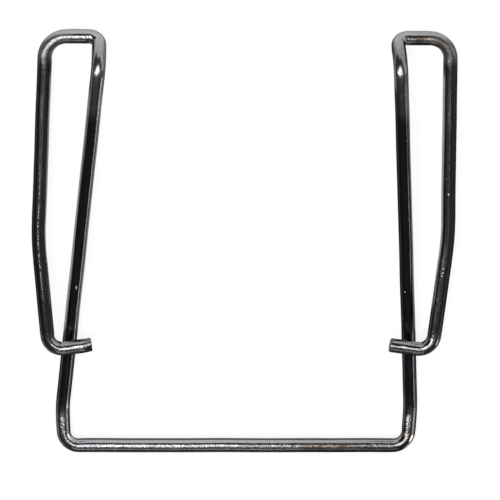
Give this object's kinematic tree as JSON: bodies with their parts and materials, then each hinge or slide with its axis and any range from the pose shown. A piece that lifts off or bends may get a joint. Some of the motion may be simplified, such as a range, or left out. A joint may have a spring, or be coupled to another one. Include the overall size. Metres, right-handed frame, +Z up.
{
  "type": "bent wire form",
  "caption": "Sprung retaining clip bent from one round steel wire: a wide U whose legs turn over into return arms that end in short hooks across the legs.",
  "frame": {"origin": "centre of the bounding box in plan, on the surface that the part lies on", "axes": "+X across the form, +Y from the base bar towards the loops, +Z up from the surface it lies on"},
  "size_m": [0.059, 0.0626, 0.0061],
  "materials": {
    "wire": "dark bright-drawn spring steel, semi-gloss, with fine drawing lines along the wire"
  },
  "bodies": {
    "root": {"wire_form": "wire"}
  },
  "joints": []
}
